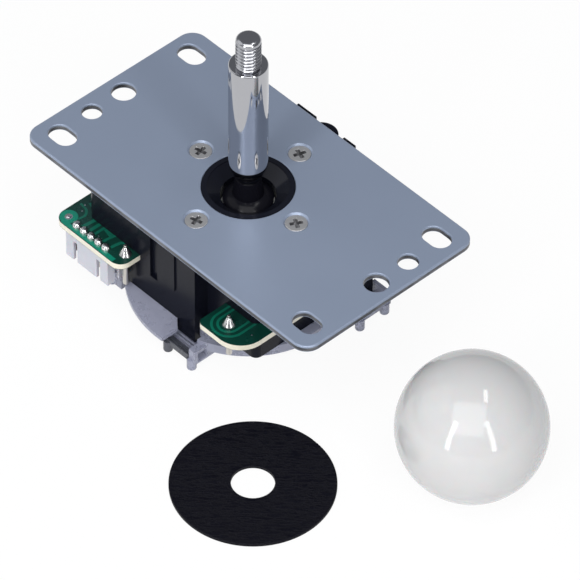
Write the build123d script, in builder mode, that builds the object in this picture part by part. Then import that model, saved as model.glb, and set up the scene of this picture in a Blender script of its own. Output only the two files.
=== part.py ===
# Arcade joystick lever with a four-switch board under a steel mounting plate.
# The origin is on the lever's axis, at the top face of the mounting plate.
# X runs along the plate, Y across it, and Z up along the lever.
from build123d import *
import math
import os

os.makedirs("parts", exist_ok=True)

# Mounting plate
plate_length = 95.0
plate_width = 53.0
plate_thickness = 1.6
plate_corner = 4.0
plate_edge_round = 0.4
slot_spacing_x = 82.0
slot_spacing_y = 40.0
slot_length = 7.5
slot_width = 5.3
hole_row_spacing = 84.6
large_hole_radius = 2.95
small_hole_radius = 2.45
small_hole_shift = 9.84
centre_hole_radius = 10.8
hole_edge_round = 0.25

# Plate screws
screw_circle_radius = 16.0
screw_radius = 1.5
screw_head_radius = 2.7
screw_head_sink = 0.3
screw_length = 8.0
screw_recess_width = 0.9
screw_recess_depth = 1.1
screw_gap = 0.05

# Lever
lever_radius = 4.55
lever_height = 37.9
lever_end_height = 7.8
stud_radius = 2.95
stud_length = 8.1
stud_chamfer = 1.15
neck_top = 4.0
neck_height = 2.8
neck_radius = 2.75
neck_round_radius = 2.95
stem_radius = 2.4
stem_tail = 1.5
screwdriver_slot_width = 0.9
screwdriver_slot_depth = 1.2
tilt_angle = 10.0

# Ball, liner and socket
pivot_drop = 3.9
ball_radius = 5.6
liner_thickness = 0.6
turn_gap = 0.15
running_gap = 0.08
sleeve_top_radius = 2.95
sleeve_base_radius = 3.7
cap_radius = 5.9
cap_rise = 1.6
cap_edge = 0.5
cap_height = 3.6
liner_low_angle = 37.0
liner_high_angle = 88.0
socket_low_angle = 39.0

# Housing
top_wall = 2.4
upper_height = 15.8
wall_thickness = 1.5
claw_distance = 21.5
recess_distance = 17.5
wing_reach = 31.0
wing_corner = 2.0
front_claw_low = -17.0
front_claw_high = 5.4
side_claw_low = -17.5
side_claw_high = 19.2
tab_width = 5.9
tab_drop = 3.5
hook_reach = 0.6
side_return_reach = 7.7
side_return_notch = 1.6
side_corner = 1.8
recess_wall_end = 11.2
groove_place = -8.5
groove_width = 2.4
groove_depth = 0.8
groove_rise = 7.0
strip_place = -2.1
strip_width = 2.0
strip_depth = 0.4
strip_rise = 8.5
boss_radius = 3.2
boss_length = 10.4
dish_rim_gap = 0.1
dish_rim_width = 1.25
dish_rim_sink = 0.1
dish_step = 0.25
dish_lip_depth = 2.6
cup_wall = 1.7
seat_drop = 6.7
seat_radius = 5.4
collar_margin = 0.3
lug_height = 3.4
lug_reach = 28.1
lug_boss_radius = 4.0

# Spring, collar, actuator and ring
collar_radius = 6.5
collar_thickness = 1.0
collar_hub_radius = 3.0
collar_hub_length = 3.0
wire_radius = 0.4
spring_turns = 5.5
actuator_radius = 5.0
actuator_wall = 0.75
actuator_floor = 2.0
actuator_length = 7.0
actuator_lift = 1.8
ring_thickness = 0.7
ring_radius = 4.4
ring_groove_depth = 0.5
ring_gap = 0.05

# Board and connector
board_gap = 0.1
board_thickness = 1.6
board_left = 36.0
board_right = 25.4
board_back = 24.5
board_wing_front = 27.7
board_front = 26.2
board_corner = 3.0
board_large_corner = 6.5
notch_gap = 0.2
front_notch_low = -13.2
front_notch_high = 11.4
side_notch_low = -4.5
pin_pitch = 2.475
pin_count = 5
pin_row_x = -25.05
pin_row_y = -25.8
pin_size = 0.64
pin_rise = 1.3
solder_radius = 1.12
solder_tip_radius = 0.6
solder_height = 1.2
solder_swell = 0.15
connector_width = 5.7
connector_height = 7.9
connector_margin = 2.2
connector_wall = 0.8
connector_floor = 2.0
post_radius = 0.75
post_length = 7.9
post_tip_radius = 0.4
post_tip_rise = 2.7
post_solder_radius = 1.55
post_solder_height = 2.1

# Switches
switch_length = 19.0
switch_back_gap = 0.1
switch_cover_thickness = 0.8
switch_thickness = 6.4
switch_wall = 1.0
switch_offset = -5.8
switch_corner = 1.2
switch_rest = 1.6
plunger_radius = 1.2
plunger_flange = 0.5
plunger_travel = 0.8
plunger_clearance = 0.15
plunger_gap = 0.1
plunger_out = 1.2
plunger_flange_thickness = 0.8
terminal_radius = 0.45
terminal_pitch = 6.4
terminal_set_back = 5.0
blade_thickness = 0.25
blade_height = 2.6

# Gate
switch_to_gate = 3.0
gate_thickness = 2.5
gate_radius = 24.0
gate_bore_radius = 19.1
gate_lip_width = 1.6
gate_lip_thickness = 0.8
gate_fit = 0.1
lobe_radius = 28.5
lobe_thickness = 1.0
lobe_start_angle = 233.0
lobe_high = 1.9
lobe_shoulder = 2.0
insert_corner = 1.5
gate_gap = 0.15
arm_reach = 25.4
arm_drop = 2.7
arm_bar_width = 2.0
arm_thin_bar = 0.9
arm_floor = 0.5
arm_rail = 0.35
arm_rail_pitch = 0.85
arm_brace_reach = 16.4
arm_brace_width = 1.0
front_arm_low = -1.5
front_arm_high = 9.6
side_arm_low = 10.4
side_arm_high = 21.3
foot_radius = 1.15
foot_height = 2.3

# Pieces shown off the lever
knob_radius = 17.5
knob_flat_radius = 6.0
knob_x = 75.85
knob_y = -1.99
insert_radius = 4.5
insert_length = 14.0
insert_hole_radius = 2.55
disc_radius = 19.0
disc_hole_radius = 5.0
disc_thickness = 0.8
disc_x = 44.3
disc_y = -39.4

# Small play between pieces that are fitted together
fit_gap = 0.05

# Levels, all measured down from the plate's top face
housing_top = -plate_thickness
housing_under = housing_top - top_wall
pivot_z = housing_top - pivot_drop
upper_bottom = housing_top - upper_height
board_top = upper_bottom - board_gap
board_bottom = board_top - board_thickness
switch_bottom = board_bottom - switch_thickness
plunger_z = board_bottom - switch_thickness / 2
gate_top = switch_bottom - switch_to_gate
gate_bottom = gate_top - gate_thickness
arm_bottom = gate_bottom - arm_drop
floor_z = arm_bottom - foot_height

# The two tilts together lean the lever further than one of them alone
tilt = math.radians(tilt_angle)
corner_tilt = math.acos(math.cos(tilt) ** 2)


# Half of the room that a round of this radius sweeps at a depth below the pivot
def sweep_reach(radius, depth):
    return (radius + depth * math.sin(tilt)) / math.cos(tilt) ** 2


# A level plane turned to one side of the lever: its x runs along the wall, and -y points out
def level(angle, height):
    return Plane(
        origin=(0, 0, height),
        x_dir=(math.cos(math.radians(angle)), math.sin(math.radians(angle)), 0),
        z_dir=(0, 0, 1),
    )


# An upright plane on one side, at a distance from the lever: x runs along the wall, y up
def upright(angle, distance, height):
    turn = math.radians(angle)
    out = (math.sin(turn), -math.cos(turn), 0)
    return Plane(
        origin=(out[0] * distance, out[1] * distance, height),
        x_dir=(math.cos(turn), math.sin(turn), 0),
        z_dir=out,
    )


# Adds or cuts a box between two points along a wall, two distances and two heights
def wall_box(angle, along, distance, height, mode=Mode.ADD):
    with BuildSketch(level(angle, height[0])) as outline:
        with Locations(((along[0] + along[1]) / 2, -(distance[0] + distance[1]) / 2)):
            Rectangle(along[1] - along[0], abs(distance[1] - distance[0]))
    extrude(outline.sketch, amount=height[1] - height[0], mode=mode)


screw_spots = [(screw_circle_radius, 0), (-screw_circle_radius, 0),
               (0, screw_circle_radius), (0, -screw_circle_radius)]
small_hole_spots = [(hole_row_spacing / 2, small_hole_shift), (-hole_row_spacing / 2, -small_hole_shift)]

# Steel mounting plate with slots at its corners
with BuildPart() as mounting_plate:
    with BuildSketch(Plane.XY.offset(housing_top)):
        RectangleRounded(plate_length, plate_width, plate_corner)
        Circle(centre_hole_radius, mode=Mode.SUBTRACT)
        with GridLocations(slot_spacing_x, slot_spacing_y, 2, 2):
            SlotOverall(slot_length, slot_width, mode=Mode.SUBTRACT)
        with GridLocations(hole_row_spacing, 0, 2, 1):
            Circle(large_hole_radius, mode=Mode.SUBTRACT)
        with Locations(*small_hole_spots):
            Circle(small_hole_radius, mode=Mode.SUBTRACT)
    extrude(amount=plate_thickness)
    top_face = mounting_plate.faces().sort_by(Axis.Z)[-1]
    fillet(top_face.outer_wire().edges(), radius=plate_edge_round)
    top_face = mounting_plate.faces().sort_by(Axis.Z)[-1]
    fillet([edge for wire in top_face.inner_wires() for edge in wire.edges()], radius=hole_edge_round)
    sink_rim = screw_head_radius + screw_head_sink + 2 * screw_gap
    with Locations(*[(x, y, 0) for x, y in screw_spots]):
        CounterSinkHole(screw_radius + 2 * screw_gap, sink_rim, depth=plate_thickness, counter_sink_angle=90)
mounting_plate.part.label = "mounting_plate"
export_step(mounting_plate.part, "parts/mounting_plate.step")

# Four countersunk screws with crossed recesses
with BuildPart() as plate_screws:
    head_height = screw_head_radius - screw_radius
    for x, y in screw_spots:
        with BuildSketch(Plane((x, y, -screw_head_sink - screw_gap))):
            Circle(screw_head_radius)
        extrude(amount=-head_height, taper=45)
        with BuildSketch(Plane((x, y, -screw_head_sink - screw_gap - head_height))):
            Circle(screw_radius)
        extrude(amount=head_height - screw_length)
        with BuildSketch(Plane((x, y, -screw_head_sink - screw_gap))):
            Rectangle(screw_head_radius * 1.15, screw_recess_width, rotation=20)
            Rectangle(screw_recess_width, screw_head_radius * 1.15, rotation=20)
        extrude(amount=-screw_recess_depth, taper=12, mode=Mode.SUBTRACT)
plate_screws.part.label = "plate_screws"
export_step(plate_screws.part, "parts/plate_screws.step")

# Sizes of the socket and of what turns in it
liner_inner = ball_radius + turn_gap
liner_outer = liner_inner + liner_thickness
socket_radius = liner_outer + turn_gap
dish_outer = centre_hole_radius - dish_rim_gap
dish_inner = dish_outer - dish_rim_width
socket_open = socket_radius * math.sin(math.radians(socket_low_angle))
socket_low_z = pivot_z - socket_radius * math.cos(math.radians(socket_low_angle))
seat_z = pivot_z - seat_drop
seat_open = (stem_radius + seat_drop * math.sin(corner_tilt)) / math.cos(corner_tilt) + turn_gap
cup_radius = socket_radius + cup_wall
cup_shoulder_z = seat_z + cup_radius - seat_radius

claw_inner = claw_distance - wall_thickness
claws = {
    0: (front_claw_low, front_claw_high),
    90: (side_claw_low, side_claw_high),
    180: (front_claw_low, front_claw_high),
    270: (side_claw_low, side_claw_high),
}
lug_spots = [(-13.3, -7.2), (2.1, 5.9)]
lug_boss_x = -2.3

# Black housing: dish and socket in the middle, skirt round the board, claws for the gate
with BuildPart() as housing:
    with BuildSketch(Plane.XY.offset(upper_bottom)):
        with BuildLine():
            Polyline(
                (-wing_reach, -claw_distance), (front_claw_high, -claw_distance),
                (front_claw_high, -recess_distance), (claw_distance, -recess_distance),
                (claw_distance, claw_distance), (-front_claw_high, claw_distance),
                (-front_claw_high, recess_distance), (-wing_reach, recess_distance), close=True)
        make_face()
    extrude(amount=upper_height)
    wing_edges = housing.edges().filter_by(Axis.Z).group_by(Axis.X)[0]
    fillet(wing_edges, radius=wing_corner)
    with BuildSketch(Plane.XY.offset(upper_bottom)):
        with BuildLine():
            Polyline(
                (-wing_reach + wall_thickness, -claw_inner),
                (front_claw_high - wall_thickness, -claw_inner),
                (front_claw_high - wall_thickness, -recess_distance + wall_thickness),
                (claw_inner, -recess_distance + wall_thickness),
                (claw_inner, claw_inner),
                (-front_claw_high + wall_thickness, claw_inner),
                (-front_claw_high + wall_thickness, recess_distance - wall_thickness),
                (-wing_reach + wall_thickness, recess_distance - wall_thickness), close=True)
        make_face()
    extrude(amount=upper_height - top_wall, mode=Mode.SUBTRACT)
    # Claws that hang past the board, each with a tab that hooks the gate
    for angle, (low, high) in claws.items():
        wall_box(angle, (low, high), (claw_inner, claw_distance), (gate_top, housing_under))
        wall_box(angle, (high - tab_width, high), (claw_inner, claw_distance),
                 (gate_top - tab_drop, gate_top))
        wall_box(angle, (high - tab_width, high), (claw_inner - hook_reach, claw_distance),
                 (gate_top - tab_drop, gate_bottom - fit_gap))
    # Return at the near end of each side claw, notched at its lower corner
    return_inner = claw_distance - side_return_reach
    for angle in (90, 270):
        wall_box(angle, (side_claw_low, side_claw_low + wall_thickness), (return_inner, claw_distance),
                 (gate_top, upper_bottom))
        wall_box(angle, (side_claw_low, side_claw_low + wall_thickness),
                 (return_inner, return_inner + side_return_notch), (gate_top, gate_top + side_return_notch),
                 mode=Mode.SUBTRACT)
    # Rounded outer corner beside each of those returns
    corner_edges = [edge for edge in housing.edges().filter_by(Axis.Z)
                    if abs(abs(edge.center().X) - claw_distance) < 0.01
                    and abs(abs(edge.center().Y) - abs(side_claw_low)) < 0.01
                    and edge.center().X * edge.center().Y < 0]
    fillet(corner_edges, radius=side_corner)
    # Front and back walls: end return, lower part of the recess, groove and strip
    for angle in (0, 180):
        wall_box(angle, (front_claw_high - wall_thickness, front_claw_high),
                 (recess_distance - wall_thickness, claw_distance), (gate_top, housing_under))
        wall_box(angle, (front_claw_high - wall_thickness, recess_wall_end),
                 (recess_distance - wall_thickness, recess_distance), (gate_top, upper_bottom))
        wall_box(angle, (groove_place - groove_width / 2, groove_place + groove_width / 2),
                 (claw_distance - groove_depth, claw_distance + 1), (gate_top + groove_rise, housing_top + 1),
                 mode=Mode.SUBTRACT)
        wall_box(angle, (strip_place - strip_width / 2, strip_place + strip_width / 2),
                 (claw_distance - groove_depth, claw_distance + strip_depth), (gate_top + strip_rise, housing_top))
    # Lugs and a round boss behind the plate's back edge
    for low, high in lug_spots:
        wall_box(180, (-high, -low), (recess_distance - wall_thickness, lug_reach),
                 (housing_top - lug_height, housing_top))
    with BuildSketch(Plane.XY.offset(housing_top - lug_height)):
        with Locations((lug_boss_x, lug_reach + 0.8 - lug_boss_radius)):
            Circle(lug_boss_radius)
        with Locations((lug_boss_x, claw_inner)):
            Rectangle(2 * lug_boss_radius, 2 * (lug_reach - lug_boss_radius - claw_inner))
    extrude(amount=lug_height)
    # Bosses for the plate screws
    with BuildSketch(Plane.XY.offset(housing_under - boss_length + top_wall)):
        with Locations(*screw_spots):
            Circle(boss_radius)
    extrude(amount=boss_length)
    # Cup of the ball socket, turned about the lever's axis
    with BuildSketch(Plane.XZ):
        with BuildLine():
            Polyline(
                (socket_radius, -dish_lip_depth), (dish_outer, -dish_lip_depth), (dish_outer, -dish_rim_sink),
                (dish_inner, -dish_rim_sink), (dish_inner, -dish_rim_sink - dish_step), close=True)
        make_face()
        with BuildLine():
            Polyline(
                (0, housing_top - top_wall / 2), (cup_radius, housing_top - top_wall / 2),
                (cup_radius, cup_shoulder_z), (seat_radius, seat_z), (0, seat_z), close=True)
        make_face()
    revolve(axis=Axis.Z)
    with BuildSketch(Plane.XZ):
        with BuildLine():
            Line((socket_radius, pivot_z), (socket_radius, 0))
            Line((socket_radius, 0), (0, 0))
            Line((0, 0), (0, seat_z - 1))
            Line((0, seat_z - 1), (seat_open, seat_z - 1))
            Line((seat_open, seat_z - 1), (seat_open, seat_z))
            Line((seat_open, seat_z), (socket_open, socket_low_z))
            ThreePointArc(
                (socket_open, socket_low_z),
                (socket_radius * math.sin(math.radians(65)), pivot_z - socket_radius * math.cos(math.radians(65))),
                (socket_radius, pivot_z))
        make_face()
    revolve(axis=Axis.Z, mode=Mode.SUBTRACT)
    with BuildSketch(Plane.XZ):
        with BuildLine():
            Polyline(
                (0, 1), (dish_inner, 1), (dish_inner, -dish_rim_sink - dish_step),
                (socket_radius, -dish_lip_depth), (0, -dish_lip_depth), close=True)
        make_face()
    revolve(axis=Axis.Z, mode=Mode.SUBTRACT)
    # Screw holes
    with BuildSketch(Plane.XY.offset(housing_top)):
        with Locations(*screw_spots):
            Circle(screw_radius + screw_gap)
    extrude(amount=-screw_length, mode=Mode.SUBTRACT)
    # Slots where the board passes through the claws
    for angle, edge in ((0, front_notch_low), (180, -front_notch_high), (90, side_notch_low),
                        (270, side_notch_low)):
        low = claws[angle][0]
        wall_box(angle, (low - 0.5, edge + board_gap), (claw_inner - 8, claw_distance + 1),
                 (board_bottom - board_gap, upper_bottom), mode=Mode.SUBTRACT)
housing.part.label = "housing"
export_step(housing.part, "parts/housing.step")

# Liner between the ball and its socket
with BuildPart() as pivot_liner:
    low, high = math.radians(liner_low_angle), math.radians(liner_high_angle)
    middle = (low + high) / 2

    def on_sphere(radius, angle):
        return (radius * math.sin(angle), pivot_z - radius * math.cos(angle))

    with BuildSketch(Plane.XZ):
        with BuildLine():
            ThreePointArc(on_sphere(liner_inner, low), on_sphere(liner_inner, middle),
                          on_sphere(liner_inner, high))
            Line(on_sphere(liner_inner, high), on_sphere(liner_outer, high))
            ThreePointArc(on_sphere(liner_outer, high), on_sphere(liner_outer, middle),
                          on_sphere(liner_outer, low))
            Line(on_sphere(liner_outer, low), on_sphere(liner_inner, low))
        make_face()
    revolve(axis=Axis.Z)
pivot_liner.part.label = "pivot_liner"
export_step(pivot_liner.part, "parts/pivot_liner.step")

# Ball with its sleeve, bored for the lever
bore_radius = stem_radius + running_gap
sleeve_top = neck_height - running_gap
cap_low = pivot_z + cap_rise
cap_high = pivot_z + cap_height
ball_low = pivot_z - math.sqrt(ball_radius**2 - bore_radius**2)
with BuildPart() as pivot_ball:
    with BuildSketch(Plane.XZ):
        with BuildLine():
            ThreePointArc((bore_radius, ball_low), (ball_radius * math.cos(0.3), pivot_z - ball_radius * math.sin(0.3)),
                          (math.sqrt(ball_radius**2 - cap_rise**2), cap_low))
            Polyline((math.sqrt(ball_radius**2 - cap_rise**2), cap_low), (cap_radius, cap_low),
                     (cap_radius, cap_low + cap_edge))
            ThreePointArc((cap_radius, cap_low + cap_edge),
                          ((cap_radius + sleeve_base_radius) / 2 + 0.1, (cap_low + cap_edge + cap_high) / 2 + 0.2),
                          (sleeve_base_radius, cap_high))
            Polyline((sleeve_base_radius, cap_high), (sleeve_top_radius, sleeve_top),
                     (bore_radius, sleeve_top), (bore_radius, ball_low))
        make_face()
    revolve(axis=Axis.Z)
pivot_ball.part.label = "pivot_ball"
export_step(pivot_ball.part, "parts/pivot_ball.step")

# Levels along the lever under the ball
collar_drop = (seat_drop + seat_radius * math.tan(corner_tilt)) * math.cos(corner_tilt) + collar_margin
collar_top = pivot_z - collar_drop
actuator_bottom = gate_top + actuator_lift
actuator_top = actuator_bottom + actuator_length
ring_top = actuator_bottom - ring_gap
stem_bottom = gate_bottom - stem_tail
groove_radius = stem_radius - ring_groove_depth
stud_top = lever_height + stud_length

# Lever turned from one bar, with a stud on top and a groove for the ring
with BuildPart() as lever_shaft:
    with BuildSketch(Plane.XZ):
        with BuildLine():
            Polyline(
                (0, stem_bottom), (stem_radius - fit_gap * 4, stem_bottom),
                (stem_radius, stem_bottom + fit_gap * 4), (stem_radius, ring_top - ring_thickness - ring_gap),
                (groove_radius, ring_top - ring_thickness - ring_gap), (groove_radius, ring_top + ring_gap),
                (stem_radius, ring_top + ring_gap), (stem_radius, neck_height), (neck_radius, neck_height),
                (neck_radius, neck_top), (neck_round_radius, neck_top))
            ThreePointArc((neck_round_radius, neck_top),
                          (lever_radius - 0.5, (neck_top + lever_end_height) / 2 - 0.1),
                          (lever_radius, lever_end_height))
            Polyline(
                (lever_radius, lever_end_height), (lever_radius, lever_height - 0.3),
                (lever_radius - 0.3, lever_height), (stud_radius, lever_height),
                (stud_radius, stud_top - stud_chamfer),
                (stud_radius - stud_chamfer, stud_top), (0, stud_top), (0, stem_bottom))
        make_face()
    revolve(axis=Axis.Z)
    with BuildSketch(Plane.XY.offset(stem_bottom)):
        Rectangle(2 * stem_radius, screwdriver_slot_width)
    extrude(amount=screwdriver_slot_depth, mode=Mode.SUBTRACT)
lever_shaft.part.label = "lever_shaft"
export_step(lever_shaft.part, "parts/lever_shaft.step")

# Actuator cup that presses the plungers
cup_floor = actuator_bottom + actuator_floor
with BuildPart() as actuator:
    with BuildSketch(Plane.XY.offset(actuator_bottom)):
        Circle(actuator_radius)
        Circle(stem_radius + fit_gap, mode=Mode.SUBTRACT)
    extrude(amount=actuator_length)
    fillet(actuator.edges().filter_by(GeomType.CIRCLE).group_by(SortBy.RADIUS)[-1], radius=fit_gap * 6)
    with BuildSketch(Plane.XY.offset(cup_floor)):
        Circle(actuator_radius - actuator_wall)
    extrude(amount=actuator_length, mode=Mode.SUBTRACT)
actuator.part.label = "actuator"
export_step(actuator.part, "parts/actuator.step")

# Retaining ring, open on one side
with BuildPart() as retaining_ring:
    with BuildSketch(Plane.XY.offset(ring_top - ring_thickness)):
        Circle(ring_radius)
        Circle(groove_radius + fit_gap, mode=Mode.SUBTRACT)
        with Locations((0, -ring_radius / 2)):
            Rectangle(2 * groove_radius * 0.9, ring_radius, mode=Mode.SUBTRACT)
        with PolarLocations(ring_radius * 0.72, 3, start_angle=30, angular_range=240):
            Circle(ring_radius * 0.16, mode=Mode.SUBTRACT)
    extrude(amount=ring_thickness)
retaining_ring.part.label = "retaining_ring"
export_step(retaining_ring.part, "parts/retaining_ring.step")

# Collar that the spring holds up
with BuildPart() as spring_collar:
    with BuildSketch(Plane.XY.offset(collar_top - collar_thickness)):
        Circle(collar_radius)
    extrude(amount=collar_thickness)
    fillet(spring_collar.edges().filter_by(GeomType.CIRCLE), radius=collar_thickness * 0.25)
    with BuildSketch(Plane.XY.offset(collar_top - collar_thickness - collar_hub_length)):
        Circle(collar_hub_radius)
    extrude(amount=collar_hub_length + collar_thickness / 2)
    with BuildSketch(Plane.XY.offset(collar_top)):
        Circle(bore_radius)
    extrude(amount=-collar_thickness - collar_hub_length, mode=Mode.SUBTRACT)
spring_collar.part.label = "spring_collar"
export_step(spring_collar.part, "parts/spring_collar.step")

# Centring spring from the cup's floor to the collar
spring_low = cup_floor + wire_radius + fit_gap
spring_high = collar_top - collar_thickness - wire_radius - fit_gap
spring_radius = (collar_hub_radius + actuator_radius - actuator_wall) / 2
with BuildPart() as centring_spring:
    with BuildLine() as coil:
        Helix(pitch=(spring_high - spring_low) / spring_turns, height=spring_high - spring_low,
              radius=spring_radius, center=(0, 0, spring_low))
    with BuildSketch(Plane(origin=coil.line @ 0, z_dir=coil.line % 0)):
        Circle(wire_radius)
    sweep()
centring_spring.part.label = "centring_spring"
export_step(centring_spring.part, "parts/centring_spring.step")

# Places along a wall and away from the lever for the switches
plunger_tip = sweep_reach(actuator_radius, pivot_z - plunger_z + plunger_radius) + plunger_clearance
switch_face = plunger_tip + plunger_out
switch_back = claw_inner - switch_back_gap
switch_low = switch_offset - switch_length / 2
switch_high = switch_offset + switch_length / 2
terminal_row = switch_back - terminal_set_back
terminal_places = [switch_offset - terminal_pitch, switch_offset, switch_offset + terminal_pitch]
sides = {"front": 0, "right": 90, "back": 180, "left": 270}
hole_depth = pivot_z - board_bottom
board_hole_radius = (actuator_radius + hole_depth * math.sin(corner_tilt)) / math.cos(corner_tilt) + 2 * running_gap
pin_spots = [(pin_row_x + pin_pitch * (i - (pin_count - 1) / 2), pin_row_y) for i in range(pin_count)]
post_spots = [(-15.8, -23.55), (16.8, -21.4)]

# Circuit board, notched where the claws pass
with BuildPart() as circuit_board:
    inner = claw_inner - notch_gap
    recess_inner = recess_distance - wall_thickness - notch_gap
    return_low = front_claw_high - wall_thickness - notch_gap
    with BuildSketch(Plane.XY.offset(board_bottom)) as board_sketch:
        with BuildLine():
            Polyline(
                (-board_left, -board_wing_front), (front_notch_low, -board_wing_front),
                (front_notch_low, -inner), (return_low, -inner),
                (return_low, -recess_inner), (front_notch_high, -recess_inner),
                (front_notch_high, -board_front), (board_right, -board_front),
                (board_right, side_notch_low), (inner, side_notch_low), (inner, board_back),
                (front_notch_high, board_back), (front_notch_high, inner), (-return_low, inner),
                (-return_low, recess_inner), (-front_notch_high, recess_inner), (-front_notch_high, board_back),
                (-board_left, board_back), close=True)
        make_face()
        corners = board_sketch.vertices()
        fillet([v for v in corners if v.X < 0.01 - board_left], radius=board_corner)
        corners = board_sketch.vertices()
        fillet([v for v in corners if v.X > board_right - 0.01 and v.Y < 0.01 - board_front],
               radius=board_large_corner)
        corners = board_sketch.vertices()
        fillet([v for v in corners if abs(v.X - front_notch_high) < 0.01 and v.Y < 0.01 - board_front],
               radius=board_corner * 0.5)
        corners = board_sketch.vertices()
        fillet([v for v in corners if abs(v.X - front_notch_low) < 0.01 and v.Y < 0.01 - board_wing_front],
               radius=board_corner)
        Circle(board_hole_radius, mode=Mode.SUBTRACT)
        left_claw = (-side_claw_high - notch_gap, -side_notch_low)
        with Locations((-(claw_inner + claw_distance) / 2, (left_claw[0] + left_claw[1]) / 2)):
            Rectangle(wall_thickness + 2 * notch_gap, left_claw[1] - left_claw[0], mode=Mode.SUBTRACT)
        with Locations(*pin_spots):
            Circle(pin_size * 0.75, mode=Mode.SUBTRACT)
        with Locations(*post_spots):
            Circle(post_radius + fit_gap, mode=Mode.SUBTRACT)
        for angle in sides.values():
            with BuildSketch(level(angle, 0), mode=Mode.PRIVATE) as terminal_holes:
                with Locations(*[(x, -terminal_row) for x in terminal_places]):
                    Circle(terminal_radius + fit_gap)
            add(terminal_holes.sketch, mode=Mode.SUBTRACT)
    extrude(amount=board_thickness)
circuit_board.part.label = "circuit_board"
export_step(circuit_board.part, "parts/circuit_board.step")

# Connector pins, square, from the solder side down into the connector
pin_bottom = board_bottom - connector_height + 2.0
with BuildPart() as connector_pins:
    with BuildSketch(Plane.XY.offset(pin_bottom)):
        with Locations(*pin_spots):
            Rectangle(pin_size, pin_size)
    extrude(amount=board_top + pin_rise - pin_bottom)
connector_pins.part.label = "connector_pins"
export_step(connector_pins.part, "parts/connector_pins.step")

# White connector with keyed slots, open at the bottom
connector_length = pin_pitch * (pin_count - 1) + 2 * connector_margin
connector_y = -claw_distance - board_gap - connector_width / 2
with BuildPart() as connector_housing:
    with BuildSketch(Plane.XY.offset(board_bottom)):
        with Locations((pin_row_x, connector_y)):
            Rectangle(connector_length, connector_width)
    extrude(amount=-connector_height)
    with BuildSketch(Plane.XY.offset(board_bottom - connector_floor)):
        with Locations((pin_row_x, connector_y)):
            Rectangle(connector_length - 2 * connector_wall, connector_width - 2 * connector_wall)
    extrude(amount=-connector_height, mode=Mode.SUBTRACT)
    with BuildSketch(Plane.XY.offset(board_bottom - connector_floor)):
        with Locations((pin_row_x - connector_length / 2 + 3.2, connector_y - connector_width / 2),
                       (pin_row_x + connector_length / 2 - 3.2, connector_y - connector_width / 2)):
            Rectangle(1.3, 3 * connector_wall)
        with Locations((pin_row_x + connector_length / 2, connector_y)):
            Rectangle(3 * connector_wall, 1.3)
    extrude(amount=-connector_height, mode=Mode.SUBTRACT)
    with BuildSketch(Plane.XY.offset(board_bottom)):
        with Locations(*pin_spots):
            Rectangle(pin_size + fit_gap, pin_size + fit_gap)
    extrude(amount=-connector_floor, mode=Mode.SUBTRACT)
connector_housing.part.label = "connector_housing"
export_step(connector_housing.part, "parts/connector_housing.step")

# Metal posts beside the claws
post_bottom = board_bottom - post_length
with BuildPart() as board_posts:
    with BuildSketch(Plane.XY.offset(post_bottom)):
        with Locations(*post_spots):
            Circle(post_radius)
    extrude(amount=board_top - post_bottom)
    with BuildSketch(Plane.XY.offset(board_top)):
        with Locations(*post_spots):
            Circle(post_tip_radius)
    extrude(amount=post_tip_rise)
    fillet(board_posts.edges().group_by(Axis.Z)[-1], radius=post_tip_radius * 0.4)
    fillet(board_posts.edges().group_by(Axis.Z)[0], radius=post_radius * 0.4)
board_posts.part.label = "board_posts"
export_step(board_posts.part, "parts/board_posts.step")



# A turned heap of solder on the board: its side swells outwards, or inwards below zero
def solder_heap(spot, base, tip, height, swell):
    with BuildSketch(Plane(origin=(*spot, board_top), x_dir=(1, 0, 0), z_dir=(0, -1, 0))) as heap:
        with BuildLine():
            Polyline((tip, height), (0, height), (0, 0), (base, 0))
            ThreePointArc((base, 0), ((base + tip) / 2 + swell, height / 2 + swell), (tip, height))
        make_face()
    revolve(heap.sketch, axis=Axis((*spot, board_top), (0, 0, 1)))


# Solder round the pins, the posts and the switch terminals
with BuildPart() as solder_joints:
    for spot in pin_spots:
        solder_heap(spot, solder_radius, solder_tip_radius, solder_height, solder_swell)
    for spot in post_spots:
        solder_heap(spot, post_solder_radius, post_tip_radius + fit_gap, post_solder_height, -solder_swell)
    for angle in sides.values():
        for place in terminal_places:
            with BuildSketch(level(angle, board_top)):
                with Locations((place, -terminal_row)):
                    Circle(terminal_radius * 2)
            extrude(amount=terminal_radius * 2, taper=20)
    with BuildSketch(Plane.XY.offset(board_top)):
        with Locations(*pin_spots):
            Rectangle(pin_size, pin_size)
        with Locations(*post_spots):
            Circle(post_tip_radius)
        for angle in sides.values():
            with BuildSketch(level(angle, 0), mode=Mode.PRIVATE) as terminal_ends:
                with Locations(*[(x, -terminal_row) for x in terminal_places]):
                    Circle(terminal_radius)
            add(terminal_ends.sketch)
    extrude(amount=post_solder_height, mode=Mode.SUBTRACT)
solder_joints.part.label = "solder_joints"
export_step(solder_joints.part, "parts/solder_joints.step")

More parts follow.
